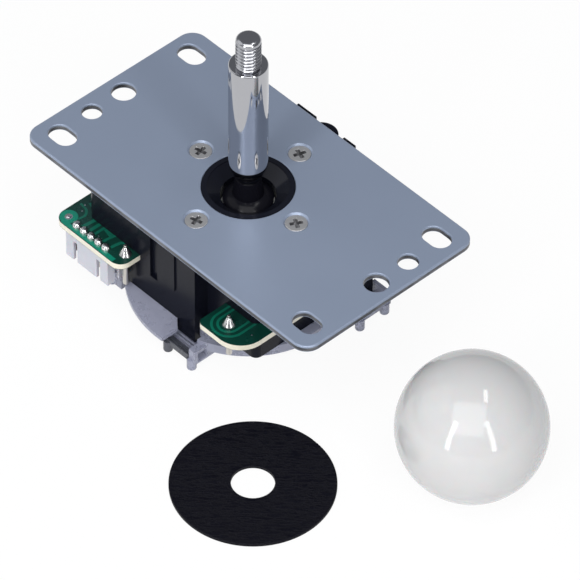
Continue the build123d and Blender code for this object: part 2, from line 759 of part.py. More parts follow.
# Four switches, each with a case, a cover, a plunger, a blade and three terminals
case_bottom = switch_bottom + switch_cover_thickness
room_low = switch_low + switch_wall
room_high = switch_high - switch_wall
room_face = switch_face + switch_wall
room_back = switch_back - switch_wall
room_top = board_bottom - fit_gap - switch_wall
flange_face = room_face + fit_gap
flange_back = flange_face + plunger_flange_thickness
blade_face = flange_back + plunger_travel + 4 * fit_gap
blade_low = terminal_places[0] - terminal_radius
for side, angle in sides.items():
    with BuildPart() as switch_case:
        wall_box(angle, (switch_low, switch_high), (switch_face, switch_back), (case_bottom, board_bottom - fit_gap))
        fillet(switch_case.edges().filter_by(Axis.Z), radius=switch_corner)
        wall_box(angle, (room_low, room_high), (room_face, room_back), (case_bottom, room_top),
                 mode=Mode.SUBTRACT)
        with BuildSketch(upright(angle, switch_face, plunger_z)) as plunger_hole:
            Circle(plunger_radius + plunger_gap)
        extrude(plunger_hole.sketch, amount=switch_wall, mode=Mode.SUBTRACT)
        with BuildSketch(level(angle, room_top)) as terminal_hole:
            with Locations(*[(x, -terminal_row) for x in terminal_places]):
                Circle(terminal_radius + fit_gap)
        extrude(terminal_hole.sketch, amount=switch_wall, mode=Mode.SUBTRACT)
    switch_case.part.label = "switch_case_" + side
    export_step(switch_case.part, "parts/switch_case_" + side + ".step")

    with BuildPart() as switch_cover:
        wall_box(angle, (switch_low, switch_high), (switch_face, switch_back), (switch_bottom, case_bottom))
        fillet(switch_cover.edges().filter_by(Axis.Z), radius=switch_corner)
        wall_box(angle, (room_low + fit_gap, room_high - fit_gap), (room_face + fit_gap, room_back - fit_gap),
                 (case_bottom, case_bottom + switch_wall / 2))
    switch_cover.part.label = "switch_cover_" + side
    export_step(switch_cover.part, "parts/switch_cover_" + side + ".step")

    with BuildPart() as switch_plunger:
        with BuildSketch(upright(angle, plunger_tip, plunger_z)):
            Circle(plunger_radius)
        extrude(amount=flange_back - plunger_tip)
        fillet(switch_plunger.edges().filter_by(GeomType.CIRCLE), radius=plunger_radius * 0.3)
        with BuildSketch(upright(angle, flange_face, plunger_z)):
            Circle(plunger_radius + plunger_flange)
        extrude(amount=plunger_flange_thickness)
    switch_plunger.part.label = "switch_plunger_" + side
    export_step(switch_plunger.part, "parts/switch_plunger_" + side + ".step")

    with BuildPart() as switch_blade:
        wall_box(angle, (blade_low, terminal_places[2] + terminal_radius),
                 (blade_face, blade_face + blade_thickness),
                 (plunger_z - blade_height / 2, plunger_z + blade_height / 2))
        wall_box(angle, (blade_low, blade_low + blade_thickness), (blade_face, terminal_row - terminal_radius - fit_gap),
                 (plunger_z - blade_height / 2, plunger_z + blade_height / 2))
        wall_box(angle, (blade_low, blade_low + 2 * terminal_radius),
                 (terminal_row - terminal_radius - fit_gap - blade_thickness, terminal_row - terminal_radius - fit_gap),
                 (plunger_z - blade_height / 2, plunger_z + blade_height / 2))
    switch_blade.part.label = "switch_blade_" + side
    export_step(switch_blade.part, "parts/switch_blade_" + side + ".step")

    with BuildPart() as switch_terminals:
        with BuildSketch(level(angle, plunger_z - blade_height / 2)) as terminal_round:
            with Locations(*[(x, -terminal_row) for x in terminal_places]):
                Circle(terminal_radius)
        extrude(terminal_round.sketch, amount=board_top + pin_rise - (plunger_z - blade_height / 2))
    switch_terminals.part.label = "switch_terminals_" + side
    export_step(switch_terminals.part, "parts/switch_terminals_" + side + ".step")

# Clear gate frame: ring, lobes, arms with feet and pads under the switches
arms = {
    0: (front_arm_low, front_arm_high, arm_thin_bar, arm_bar_width),
    90: (side_arm_low, side_arm_high, arm_bar_width, arm_thin_bar),
    180: (front_arm_low, front_arm_high, arm_thin_bar, arm_bar_width),
    270: (side_arm_low, side_arm_high, arm_bar_width, arm_thin_bar),
}
rail_inner = claw_distance + 3 * fit_gap
rail_top = gate_top - tab_drop - 3 * fit_gap
shoulder_x = arm_thin_bar + front_arm_low + 2 * fit_gap
front_bar = arm_reach - 1.0
lip_top = gate_bottom + gate_lip_thickness
with BuildPart() as gate_frame:
    start = math.radians(lobe_start_angle)
    edge = lobe_radius * 2
    for low, high, bore in ((gate_bottom, lip_top, gate_bore_radius - gate_lip_width),
                            (lip_top, gate_top, gate_bore_radius)):
        with BuildSketch(Plane.XY.offset(low)):
            Circle(gate_radius)
            Circle(bore, mode=Mode.SUBTRACT)
        extrude(amount=high - low)
    for angle, (low, high, low_bar, high_bar) in arms.items():
        wall_box(angle, (low, high), (claw_inner - fit_gap, arm_reach), (arm_bottom, gate_bottom + gate_thickness / 2))
        wall_box(angle, (low + low_bar, high - high_bar), (claw_inner - 3 * fit_gap, front_bar),
                 (arm_bottom + arm_floor, gate_top), mode=Mode.SUBTRACT)
        wall_box(angle, (low + low_bar, high - high_bar), (front_bar - 1, arm_reach + 1),
                 (gate_bottom - 1.0, gate_top), mode=Mode.SUBTRACT)
        wall_box(angle, (low + low_bar, high - high_bar), (front_bar + 0.3, arm_reach - 0.3),
                 (gate_bottom - 1.4, gate_top), mode=Mode.SUBTRACT)
        for place in (rail_inner, rail_inner + arm_rail_pitch):
            wall_box(angle, (low + low_bar, high - high_bar), (place, place + arm_rail), (arm_bottom, rail_top))
        window = (high - high_bar, high) if high_bar > low_bar else (low, low + low_bar)
        wall_box(angle, window, (claw_distance, front_bar - fit_gap), (arm_bottom + arm_floor, gate_bottom + arm_rail),
                 mode=Mode.SUBTRACT)
        brace = (high - arm_brace_width, high) if high_bar > low_bar else (low, low + arm_brace_width)
        wall_box(angle, brace, (arm_brace_reach, claw_inner), (arm_bottom, arm_bottom + 2 * arm_rail))
        wall_box(angle, brace, (arm_brace_reach, arm_brace_reach + arm_brace_width), (arm_bottom, gate_bottom))
        with BuildSketch(level(angle, arm_bottom)) as feet:
            with Locations((low + foot_radius + 0.4, foot_radius - 0.7 - arm_reach),
                           (high - foot_radius - 0.4, foot_radius - 0.7 - arm_reach)):
                Circle(foot_radius)
        extrude(feet.sketch, amount=-foot_height)
    feet_edges = gate_frame.faces().sort_by(Axis.Z).filter_by(Axis.Z).group_by(Axis.Z)[0].edges()
    fillet(feet_edges, radius=foot_radius * 0.45)
    for angle in sides.values():
        wall_box(angle, (switch_low + switch_rest, switch_low + 2 * switch_rest),
                 (switch_back - 2.0, switch_back - 6 * fit_gap), (lip_top, switch_bottom - fit_gap))
    # Thin lobes level with the ring's top, each reaching over an arm to the tab beside it
    with BuildSketch(Plane.XY.offset(gate_top - lobe_thickness)):
        for turn in (0, 180):
            with BuildSketch(level(turn, 0), mode=Mode.PRIVATE) as lobe:
                with BuildLine():
                    Polyline((shoulder_x, -rail_inner), (shoulder_x, -gate_bore_radius),
                             (gate_bore_radius * math.cos(start), gate_bore_radius * math.sin(start)),
                             (edge * math.cos(start), edge * math.sin(start)), (lobe_high, -edge),
                             (lobe_high, -rail_inner - lobe_shoulder), close=True)
                make_face()
                Circle(lobe_radius, mode=Mode.INTERSECT)
            add(lobe.sketch)
        Circle(gate_bore_radius, mode=Mode.SUBTRACT)
    extrude(amount=lobe_thickness)
gate_frame.part.label = "gate_frame"
export_step(gate_frame.part, "parts/gate_frame.step")

# Gate insert with the square opening that stops the lever
opening = sweep_reach(stem_radius, pivot_z - gate_bottom) + gate_gap
with BuildPart() as gate_insert:
    with BuildSketch(Plane.XY.offset(gate_bottom + gate_lip_thickness + fit_gap)):
        Circle(gate_bore_radius - gate_fit)
        RectangleRounded(2 * opening, 2 * opening, insert_corner, mode=Mode.SUBTRACT)
    extrude(amount=gate_thickness - gate_lip_thickness - fit_gap)
gate_insert.part.label = "gate_insert"
export_step(gate_insert.part, "parts/gate_insert.step")

# Ball knob, shown standing on its flat beside the lever
knob_centre = floor_z + math.sqrt(knob_radius**2 - knob_flat_radius**2)
with BuildPart() as ball_knob:
    with Locations((knob_x, knob_y, knob_centre)):
        Sphere(knob_radius)
    with BuildSketch(Plane.XY.offset(floor_z)):
        with Locations((knob_x, knob_y)):
            Rectangle(2 * knob_radius, 2 * knob_radius)
    extrude(amount=-knob_radius, mode=Mode.SUBTRACT)
    with BuildSketch(Plane.XY.offset(floor_z)):
        with Locations((knob_x, knob_y)):
            Circle(insert_radius + fit_gap)
    extrude(amount=insert_length + fit_gap, mode=Mode.SUBTRACT)
ball_knob.part.label = "ball_knob"
export_step(ball_knob.part, "parts/ball_knob.step")

# Threaded insert in the knob
with BuildPart() as knob_insert:
    with BuildSketch(Plane.XY.offset(floor_z + 2 * fit_gap)):
        with Locations((knob_x, knob_y)):
            Circle(insert_radius)
            Circle(insert_hole_radius, mode=Mode.SUBTRACT)
    extrude(amount=insert_length - 2 * fit_gap)
knob_insert.part.label = "knob_insert"
export_step(knob_insert.part, "parts/knob_insert.step")

# Dust disc, shown lying beside the lever
with BuildPart() as dust_disc:
    with BuildSketch(Plane.XY.offset(floor_z)):
        with Locations((disc_x, disc_y)):
            Circle(disc_radius)
            Circle(disc_hole_radius, mode=Mode.SUBTRACT)
    extrude(amount=disc_thickness)
    fillet(dust_disc.faces().sort_by(Axis.Z)[-1].outer_wire().edges(), radius=disc_thickness * 0.3)
dust_disc.part.label = "dust_disc"
export_step(dust_disc.part, "parts/dust_disc.step")
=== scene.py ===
# %% [markdown]
# # An arcade joystick lever
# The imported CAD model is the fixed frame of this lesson. Each cell after this one
# makes one piece or one finish of the real lever round that frame, in metres.

# %% Load the frame
import math
import bmesh
import bpy
from mathutils import Matrix, Vector


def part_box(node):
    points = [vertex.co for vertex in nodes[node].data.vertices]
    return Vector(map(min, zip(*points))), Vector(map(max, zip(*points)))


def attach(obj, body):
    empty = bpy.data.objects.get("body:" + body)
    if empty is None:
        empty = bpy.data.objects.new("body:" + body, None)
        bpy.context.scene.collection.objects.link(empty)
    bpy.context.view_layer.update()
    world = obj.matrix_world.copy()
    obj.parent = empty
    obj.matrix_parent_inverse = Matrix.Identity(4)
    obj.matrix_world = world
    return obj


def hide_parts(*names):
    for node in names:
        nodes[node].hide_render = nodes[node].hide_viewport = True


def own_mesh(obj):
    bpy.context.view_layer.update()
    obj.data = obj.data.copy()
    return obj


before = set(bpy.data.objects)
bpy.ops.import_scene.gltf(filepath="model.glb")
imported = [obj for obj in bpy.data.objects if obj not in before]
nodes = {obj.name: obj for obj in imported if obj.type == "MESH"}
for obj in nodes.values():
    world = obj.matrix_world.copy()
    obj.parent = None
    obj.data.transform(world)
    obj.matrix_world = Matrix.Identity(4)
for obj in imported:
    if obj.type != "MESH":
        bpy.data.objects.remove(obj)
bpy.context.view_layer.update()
MM = 0.001

# %% [markdown]
# ## Shader maths as Python
# A finish is easier to read as a formula than as a list of links. The small class
# below wraps the output of a node, so that + - and * add Math nodes by themselves.
# One method of the finish makes every other node.

# %% A value in a shader, and a finish that makes nodes
class Value:
    """The output of a shader node, with arithmetic."""

    def __init__(self, finish, socket):
        self.finish, self.socket = finish, socket

    def math(self, operation, *others):
        names = ("Value", "Value_001", "Value_002")
        return self.finish.node("ShaderNodeMath", {"operation": operation}, dict(zip(names, others)))

    def __add__(self, other):
        return self.math("ADD", self, other)

    def __sub__(self, other):
        return self.math("SUBTRACT", self, other)

    def __rsub__(self, other):
        return self.math("SUBTRACT", other, self)

    def __mul__(self, other):
        return self.math("MULTIPLY", self, other)

    def over(self, other):
        return self.math("GREATER_THAN", self, other)

    def size(self):
        return self.math("ABSOLUTE", self)

    def held(self):
        """The value kept between 0 and 1."""
        return self.finish.node("ShaderNodeClamp", {}, {"Value": self})

    __radd__, __rmul__ = __add__, __mul__


class Finish:
    """A material with one Principled shader, and the way to add nodes to it."""

    def __init__(self, name, **fixed):
        self.material = bpy.data.materials.new(name)
        self.material.use_nodes = True
        self.tree = self.material.node_tree
        self.shader = self.tree.nodes["Principled BSDF"]
        for key, value in fixed.items():
            self.shader.inputs[key.replace("_", " ")].default_value = value

    def node(self, kind, settings=None, sockets=None, out=0):
        made = self.tree.nodes.new(kind)
        for key, value in (settings or {}).items():
            if key == "stops":
                ramp = made.color_ramp.elements
                while len(ramp) < len(value):
                    ramp.new(0.5)
                for stop, (place, colour) in zip(ramp, value):
                    stop.position, stop.color = place, (*colour, 1)
            else:
                setattr(made, key, value)
        for key, value in (sockets or {}).items():
            socket = next(s for s in made.inputs if key == s.identifier or key == s.name)
            if isinstance(value, Value):
                self.tree.links.new(value.socket, socket)
            else:
                socket.default_value = value
        return Value(self, made.outputs[out])

    def place(self, scale=(1, 1, 1), turn=(0, 0, 0)):
        """Object coordinates in millimetres, stretched and turned."""
        here = self.node("ShaderNodeTexCoord", out=3)
        return self.node("ShaderNodeMapping", {}, {
            "Vector": here, "Scale": [s * 1000 for s in scale], "Rotation": turn})

    def axis(self, letter, where):
        return self.node("ShaderNodeSeparateXYZ", {}, {"Vector": where}, "XYZ".index(letter))

    def noise(self, where, scale, detail=3.0, roughness=0.5):
        return self.node("ShaderNodeTexNoise", {}, {
            "Vector": where, "Scale": scale, "Detail": detail, "Roughness": roughness})

    def mix(self, factor, first, second):
        colours = [(*c, 1) if isinstance(c, tuple) and len(c) == 3 else c for c in (first, second)]
        return self.node("ShaderNodeMix", {"data_type": "RGBA"}, {
            "Factor_Float": factor, "A_Color": colours[0], "B_Color": colours[1]}, 2)

    def feed(self, **sockets):
        for key, value in sockets.items():
            self.tree.links.new(value.socket, self.shader.inputs[key.replace("_", " ")])

    def bump(self, height, strength, distance):
        self.feed(Normal=self.node("ShaderNodeBump", {}, {
            "Height": height, "Strength": strength, "Distance": distance}))


def wear(node, finish):
    """Gives a CAD node this finish."""
    mesh = nodes[node].data
    mesh.materials.clear()
    mesh.materials.append(finish.material)


# %% [markdown]
# ## Steel of the mounting plate
# The plate is stamped sheet with a satin blue-grey coat. Its look is an even
# colour with a very fine grain. The punch rolls the upper part of the edge over and
# tears the lower part, so the sides turn dark a third of the way down. Large patches
# of painted shade make that torn part darker still in places.

# %% Plate finish
plate_steel = Finish("plate_steel", Metallic=0.35, IOR=1.5)
spot = plate_steel.place()
cloud = plate_steel.noise(spot, 0.05, 4)
grain = plate_steel.noise(plate_steel.place((0.9, 6, 1)), 1.2, 2)
ROLLED, UNDERSIDE, FADE = 0.40, 1.5, 3.5
depth = plate_steel.axis("Z", spot) * -1
torn = ((depth - ROLLED) * FADE).held() * (UNDERSIDE - depth).over(0)
# Painted shade: large noise patches that make the torn lower edge darker still
edge_shade_patch = ((plate_steel.noise(plate_steel.place((0.2, 0.2, 0.6)), 1.0, 4) - 0.38) * 4).held()
coat = plate_steel.mix(cloud, (0.262, 0.315, 0.420), (0.284, 0.337, 0.445))
bare = plate_steel.mix(edge_shade_patch, (0.035, 0.036, 0.042), (0.130, 0.133, 0.145))
plate_steel.feed(
    Base_Color=plate_steel.mix(torn, coat, bare),
    Roughness=0.36 + grain * 0.10)
plate_steel.bump(grain, 0.05, 0.00005)
wear("mounting_plate", plate_steel)
print("plate finish made")

# %% [markdown]
# ## Chrome and bright metals
# Chrome has almost no colour of its own. Faint waviness in the roughness keeps the
# reflections from looking computed. Solder and tinned pins are rougher.

# %% Bright metals
def metal(name, colour, rough, spread=0.05, scale=0.6):
    made = Finish(name, Metallic=1.0)
    patch = made.noise(made.place(), scale, 3)
    made.feed(Base_Color=made.mix(patch, tuple(c * 0.92 for c in colour), colour),
              Roughness=rough + patch * spread)
    return made


THREAD_FOOT = 37.95
lever_chrome = metal("lever_chrome", (0.46, 0.465, 0.49), 0.05, 0.03, 0.08)
rolled = (lever_chrome.axis("Z", lever_chrome.place()) - THREAD_FOOT).over(0)
lever_chrome.feed(Roughness=0.06 + rolled * 0.16)
screw_steel = metal("screw_steel", (0.92, 0.91, 0.90), 0.38, 0.03)
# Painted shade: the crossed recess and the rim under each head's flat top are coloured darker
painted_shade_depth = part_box("plate_screws")[1].z * 1000 - screw_steel.axis("Z", screw_steel.place())
screw_steel.feed(Base_Color=screw_steel.mix(
    (painted_shade_depth - 0.02).over(0), (0.92, 0.91, 0.90), (0.34, 0.34, 0.35)))
solder_bright = metal("solder", (0.82, 0.82, 0.82), 0.16, 0.15, 1.4)
terminal_metal = metal("terminal_metal", (0.62, 0.60, 0.56), 0.28, 0.1)
blade_brass = metal("blade_brass", (0.75, 0.55, 0.28), 0.25)
ring_steel = metal("ring_steel", (0.40, 0.40, 0.42), 0.3)
spring_steel = metal("spring_steel", (0.62, 0.62, 0.64), 0.25)
insert_brass = metal("insert_brass", (0.78, 0.60, 0.30), 0.24)
for node, finish in (("connector_pins", terminal_metal), ("board_posts", terminal_metal),
                     ("retaining_ring", ring_steel), ("knob_insert", insert_brass)):
    wear(node, finish)
for side in ("front", "right", "back", "left"):
    wear("switch_blade_" + side, blade_brass)
    wear("switch_terminals_" + side, terminal_metal)
print("metals on", sum(1 for n in nodes.values() if n.data.materials and n.data.materials[0].name in
                       ("terminal_metal", "blade_brass")), "nodes")

# %% [markdown]
# ## Moulded plastics
# Moulded plastic differs by gloss and by a slight unevenness left by the mould.
# One helper makes them all: a colour with faint clouds, and a soft ripple as bump.

# %% Plastics
def plastic(name, colour, rough, ripple=0.03, shade=0.12, **fixed):
    made = Finish(name, **fixed)
    cloud = made.noise(made.place(), 0.12, 3)
    fine = made.noise(made.place(), 2.5, 2)
    made.feed(Base_Color=made.mix(cloud, tuple(c * (1 - shade) for c in colour), colour),
              Roughness=rough + fine * 0.06)
    made.bump(fine, ripple, 0.0001)
    return made


DISH_RADIUS, DISH_FLOOR = 10.72, -4.0
black_housing = plastic("black_housing", (0.006, 0.007, 0.013), 0.22,
                        Specular_IOR_Level=0.10, Coat_Roughness=0.08)
mould = black_housing.place()
out_x, out_y, level = (black_housing.axis(letter, mould) for letter in "XYZ")
in_dish = (DISH_RADIUS ** 2 - (out_x * out_x + out_y * out_y)).over(0) * (level - DISH_FLOOR).over(0)
black_housing.feed(Coat_Weight=in_dish * 0.25)
black_pivot = plastic("black_pivot", (0.005, 0.005, 0.008), 0.20, Specular_IOR_Level=0.10,
                      Coat_Weight=0.04, Coat_Roughness=0.08)
connector_white = plastic("connector_white", (0.52, 0.53, 0.59), 0.35, 0.05, 0.04,
                          Subsurface_Weight=0.15, Subsurface_Scale=0.002)
switch_black = plastic("switch_black", (0.03, 0.03, 0.033), 0.45)
switch_grey = plastic("switch_cover_grey", (0.12, 0.12, 0.13), 0.5)
plunger_red = plastic("plunger_red", (0.50, 0.05, 0.04), 0.35)
liner_white = plastic("liner_white", (0.82, 0.82, 0.80), 0.3)
actuator_black = plastic("actuator_black", (0.04, 0.04, 0.045), 0.35)
collar_white = plastic("collar_white", (0.82, 0.82, 0.80), 0.4)
for node, finish in (("housing", black_housing), ("pivot_ball", black_pivot),
                     ("pivot_liner", liner_white), ("connector_housing", connector_white),
                     ("actuator", actuator_black), ("spring_collar", collar_white)):
    wear(node, finish)
for side in ("front", "right", "back", "left"):
    wear("switch_case_" + side, switch_black)
    wear("switch_cover_" + side, switch_grey)
    wear("switch_plunger_" + side, plunger_red)
print("plastics made")

# %% [markdown]
# ## Clear gate
# The gate is clear plastic with a lightly frosted, lavender-grey look. A Principled
# shader with transmission does this, and the roughness blurs what is behind it. A box
# inside the front arm is coloured dark as painted shade.

# %% Clear plastic
clear_gate = Finish("clear_gate", Transmission_Weight=0.3, IOR=1.46)
here = clear_gate.place()
haze = clear_gate.noise(here, 0.25, 5, 0.65)
side_x, side_y, height = (clear_gate.axis(letter, here) for letter in "XYZ")
# Painted shade: a box inside the front arm, where its channel lies in shadow, is coloured dark
SHADE_MIDDLE, SHADE_HALF, SHADE_NEAR, SHADE_TOP = 3.5, 4.1, 22.9, -29.8
painted_shade_well = ((SHADE_HALF - (side_x - SHADE_MIDDLE).size()).over(0) * side_y.size().over(SHADE_NEAR)
        * (SHADE_TOP - height).over(0))
clear_gate.feed(
    Base_Color=clear_gate.mix(painted_shade_well, clear_gate.mix(haze, (0.29, 0.30, 0.40), (0.44, 0.46, 0.57)),
                              (0.085, 0.09, 0.11)),
    Roughness=0.12 + haze * 0.35)
clear_gate.bump(haze, 0.15, 0.0004)
for node in ("gate_frame", "gate_insert"):
    wear(node, clear_gate)
print("gate finish made")

# %% [markdown]
# ## Circuit board
# A board is green lacquer on a cream laminate. The lacquer is only on its two
# faces, so the finish asks how high a point lies and leaves the sawn edge cream.
# Copper under the lacquer shows as a lighter green.

# %% Board finish
board_low, board_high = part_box("circuit_board")


def lacquer(name, dark, light):
    made = Finish(name, IOR=1.5, Coat_Weight=0.3, Coat_Roughness=0.1)
    here = made.place()
    cloud = made.noise(here, 0.3, 4)
    level = made.axis("Z", here)
    middle = 500 * (board_low.z + board_high.z)
    half = 500 * (board_high.z - board_low.z)
    face = (level - middle).size().over(half - 0.06)
    green = made.mix(cloud, dark, light)
    made.feed(Base_Color=made.mix(face, (0.74, 0.70, 0.58), green),
              Roughness=0.30 + cloud * 0.15 - face * 0.12)
    made.bump(cloud, 0.1, 0.0001)
    return made


board_green = lacquer("board_green", (0.002, 0.034, 0.024), (0.004, 0.050, 0.036))
wear("circuit_board", board_green)
print("board between", round(board_low.z * 1000, 2), "and", round(board_high.z * 1000, 2), "mm")

# %% [markdown]
# ## A lathe for round pieces
# Many pieces were turned on a lathe. A list of radius and height pairs, spun round
# an axis, gives them all, and a last pass makes the normals face outwards.

# %% Lathe
def piece(name, mesh, body, finish, slot, *replaced):
    """A finished mesh as an object that rides on a body."""
    made = bpy.data.objects.new(name, mesh)
    bpy.context.scene.collection.objects.link(made)
    mesh.materials.clear()
    mesh.materials.append(finish.material)
    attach(made, body)
    if replaced:
        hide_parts(*replaced)
    return made


def tidy(build, name, angle=40):
    bmesh.ops.remove_doubles(build, verts=build.verts, dist=1e-6)
    bmesh.ops.recalc_face_normals(build, faces=build.faces)
    mesh = bpy.data.meshes.new(name)
    build.to_mesh(mesh)
    build.free()
    mesh.shade_smooth()
    mesh.set_sharp_from_angle(angle=math.radians(angle))
    return mesh


def turned(name, profile, centre=(0, 0), steps=96, shape=None):
    """Spins (radius, height) pairs in mm. shape can change both, given the angle too."""
    build = bmesh.new()
    rings = []
    for radius, height in profile:
        ring = []
        for step in range(steps if radius > 1e-6 else 1):
            angle = 2 * math.pi * step / steps
            r, h = shape(radius, height, angle) if shape else (radius, height)
            ring.append(build.verts.new(((centre[0] + r * math.cos(angle)) * MM,
                                         (centre[1] + r * math.sin(angle)) * MM, h * MM)))
        rings.append(ring)
    for low, high in zip(rings, rings[1:]):
        for step in range(steps):
            after = (step + 1) % steps
            corners = [low[step % len(low)], low[after % len(low)],
                       high[after % len(high)], high[step % len(high)]]
            corners = list(dict.fromkeys(corners))
            if len(corners) > 2:
                build.faces.new(corners)
    return tidy(build, name)


# %% [markdown]
# ## The lever
# The lever is one turned and plated bar. Its stud has a rolled thread: the crest
# climbs by one pitch per turn, so the radius depends on both height and angle.
# That is a rule, so the lathe takes it as a function.

# %% Lever with its thread
shaft_low, shaft_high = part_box("lever_shaft")
STUD_LOW, STUD_TOP, CREST, ROOT, PITCH = 37.9, shaft_high.z * 1000, 2.95, 2.36, 1.0


def thread(radius, height, angle):
    if not STUD_LOW + 0.05 < height < STUD_TOP - 0.05:
        return radius, height
    turn = (height - STUD_LOW) / PITCH - angle / (2 * math.pi)
    cut = (CREST - ROOT) * (0.5 - 0.5 * math.cos(2 * math.pi * turn))
    fade = min(1.0, (height - STUD_LOW) / 0.5, max(0.0, (STUD_TOP - 0.8 - height) / 0.7))
    return min(radius, CREST - cut * fade), height


FOOT, THIN, NECK, THICK, BULGE, ROUND, STEP = shaft_low.z * 1000, 2.4, 2.75, 4.55, 1.6, 1.15, 0.05
lever_profile = [(0, FOOT), (THIN - 0.2, FOOT), (THIN, FOOT + 0.2), (THIN, 2.8), (NECK, 2.8),
                 (NECK, 4.0), (THICK - BULGE, 4.0)]
lever_profile += [(THICK - BULGE * t ** 1.9, 7.8 - 3.8 * t) for t in [1 - i / 14 for i in range(1, 15)]]
lever_profile += [(THICK, 20.0), (THICK, 37.5), (THICK - 0.05, 37.75), (THICK - 0.2, STUD_LOW),
                  (CREST, STUD_LOW)]
lever_profile += [(CREST, STUD_LOW + STEP * i)
                  for i in range(1, int((STUD_TOP - ROUND - STUD_LOW) / STEP))]
lever_profile += [(CREST - ROUND * (1 - math.cos(a)), STUD_TOP - ROUND + ROUND * math.sin(a))
                  for a in [math.pi / 2 * i / 8 for i in range(0, 9)]]
lever_profile += [(0, STUD_TOP)]
lever = piece("lever", turned("lever", lever_profile, shape=thread), "lever", lever_chrome,
              "lever_chrome", "lever_shaft")
print("lever", len(lever.data.polygons), "faces")

# %% [markdown]
# ## Pieces that repeat
# Screws and solder joints come many times over, and copper traces follow a path. Small
# geometry node trees grow them. The helper builds a tree, sets its named inputs by
# their identifiers, and hands back a plain mesh, so nothing live stays in the scene.

# %% A helper for geometry nodes
class Growth:
    """A geometry node tree built node by node."""

    def __init__(self, name, **inputs):
        self.name, self.values = name, {}
        self.tree = bpy.data.node_groups.new(name, "GeometryNodeTree")
        sockets = self.tree.interface
        sockets.new_socket("Geometry", in_out="OUTPUT", socket_type="NodeSocketGeometry")
        sockets.new_socket("Geometry", in_out="INPUT", socket_type="NodeSocketGeometry")
        for key, (kind, value) in inputs.items():
            made = sockets.new_socket(key, in_out="INPUT", socket_type="NodeSocket" + kind)
            self.values[made.identifier] = value
        self.given = self.tree.nodes.new("NodeGroupInput").outputs

    def node(self, kind, settings=None, sockets=None, out=0):
        made = self.tree.nodes.new(kind)
        for key, value in (settings or {}).items():
            setattr(made, key, value)
        for key, value in (sockets or {}).items():
            socket = next(s for s in made.inputs if key == s.identifier or key == s.name)
            if isinstance(value, bpy.types.NodeSocket):
                self.tree.links.new(value, socket)
            else:
                socket.default_value = value
        return made.outputs[out]

    def plain_mesh(self, source, last):
        """Ends the tree, runs it on a mesh and returns the result as a plain mesh."""
        whole = self.node("GeometryNodeRealizeInstances", {}, {"Geometry": last})
        painted = self.node("GeometryNodeSetMaterial", {}, {
            "Geometry": whole, "Material": self.given["Material"]})
        end = self.tree.nodes.new("NodeGroupOutput")
        self.tree.links.new(painted, end.inputs[0])
        holder = bpy.data.objects.new(self.name, source)
        bpy.context.scene.collection.objects.link(holder)
        modifier = holder.modifiers.new(self.name, "NODES")
        modifier.node_group = self.tree
        for identifier, value in self.values.items():
            modifier[identifier] = value
        bpy.context.view_layer.update()
        graph = bpy.context.evaluated_depsgraph_get()
        made = bpy.data.meshes.new_from_object(holder.evaluated_get(graph))
        made.name = self.name
        holder.modifiers.remove(modifier)
        bpy.data.objects.remove(holder)
        return made


def points(name, places, edges=()):
    mesh = bpy.data.meshes.new(name)
    mesh.from_pydata([(x * MM, y * MM, z * MM) for x, y, z in places], edges, [])
    return mesh


def repeated(name, shape, places, turn, spread, seed, finish):
    """Copies one mesh to every place, each turned and scaled a little differently."""
    original = bpy.data.objects.new(name + "_original", shape)
    bpy.context.scene.collection.objects.link(original)
    grow = Growth(name, Shape=("Object", original), Turn=("Float", turn), Spread=("Float", spread),
                  Seed=("Int", seed), Material=("Material", finish.material))
    source = grow.node("GeometryNodeObjectInfo", {}, {"Object": grow.given["Shape"]}, 4)
    seed_of = {"Seed": grow.given["Seed"]}
    angle = grow.node("FunctionNodeRandomValue", {}, {
        **seed_of, "Min_001": 0.0, "Max_001": grow.given["Turn"]}, 1)
    least = grow.node("ShaderNodeMath", {"operation": "SUBTRACT"}, {
        "Value": 1.0, "Value_001": grow.given["Spread"]})
    size = grow.node("FunctionNodeRandomValue", {}, {**seed_of, "Min_001": least, "Max_001": 1.0}, 1)
    turned_by = grow.node("ShaderNodeCombineXYZ", {}, {"Z": angle})
    copies = grow.node("GeometryNodeInstanceOnPoints", {}, {
        "Points": grow.given["Geometry"], "Instance": source, "Rotation": turned_by, "Scale": size})
    made = grow.plain_mesh(points(name + "_places", places), copies)
    bpy.data.objects.remove(original)
    return made


def band(name, path, width, height, bend, finish):
    """A flat band of this width along a path, with rounded bends."""
    grow = Growth(name, Width=("Float", width * MM), Height=("Float", height * MM),
                  Bend=("Float", bend * MM), Material=("Material", finish.material))
    line = grow.node("GeometryNodeMeshToCurve", {}, {"Mesh": grow.given["Geometry"]})
    bent = grow.node("GeometryNodeFilletCurve", {"mode": "POLY"}, {
        "Curve": line, "Count": 8, "Radius": grow.given["Bend"], "Limit Radius": True})
    upright = grow.node("GeometryNodeSetCurveNormal", {"mode": "Z_UP"}, {"Curve": bent})
    section = grow.node("GeometryNodeCurvePrimitiveQuadrilateral", {}, {
        "Width": grow.given["Width"], "Height": grow.given["Height"]})
    solid = grow.node("GeometryNodeCurveToMesh", {}, {
        "Curve": upright, "Profile Curve": section, "Fill Caps": True})
    steps = [(i, i + 1) for i in range(len(path) - 1)]
    return grow.plain_mesh(points(name + "_path", path, steps), solid)


print("growth helpers ready")

# %% [markdown]
# ## Plate screws
# One countersunk head is turned on the lathe, and its crossed recess is pressed in by
# the shape rule. The tree then sets four of them, each tightened to its own angle.

# %% Screws
screw_low, screw_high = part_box("plate_screws")
HEAD_TOP, HEAD_RADIUS, SHANK = screw_high.z * 1000, 2.7, 1.5
RECESS_HALF, RECESS_REACH, RECESS_DEPTH = 0.40, 1.55, 1.0


def crossed(radius, height, angle):
    if height < HEAD_TOP - 0.25:
        return radius, height
    x, y = abs(radius * math.cos(angle)), abs(radius * math.sin(angle))
    side = min(1.0, max(0.0, (RECESS_HALF - min(x, y)) / 0.12 + 0.5))
    end = min(1.0, max(0.0, (RECESS_REACH - max(x, y)) / 0.35))
    return radius, height - RECESS_DEPTH * side * end


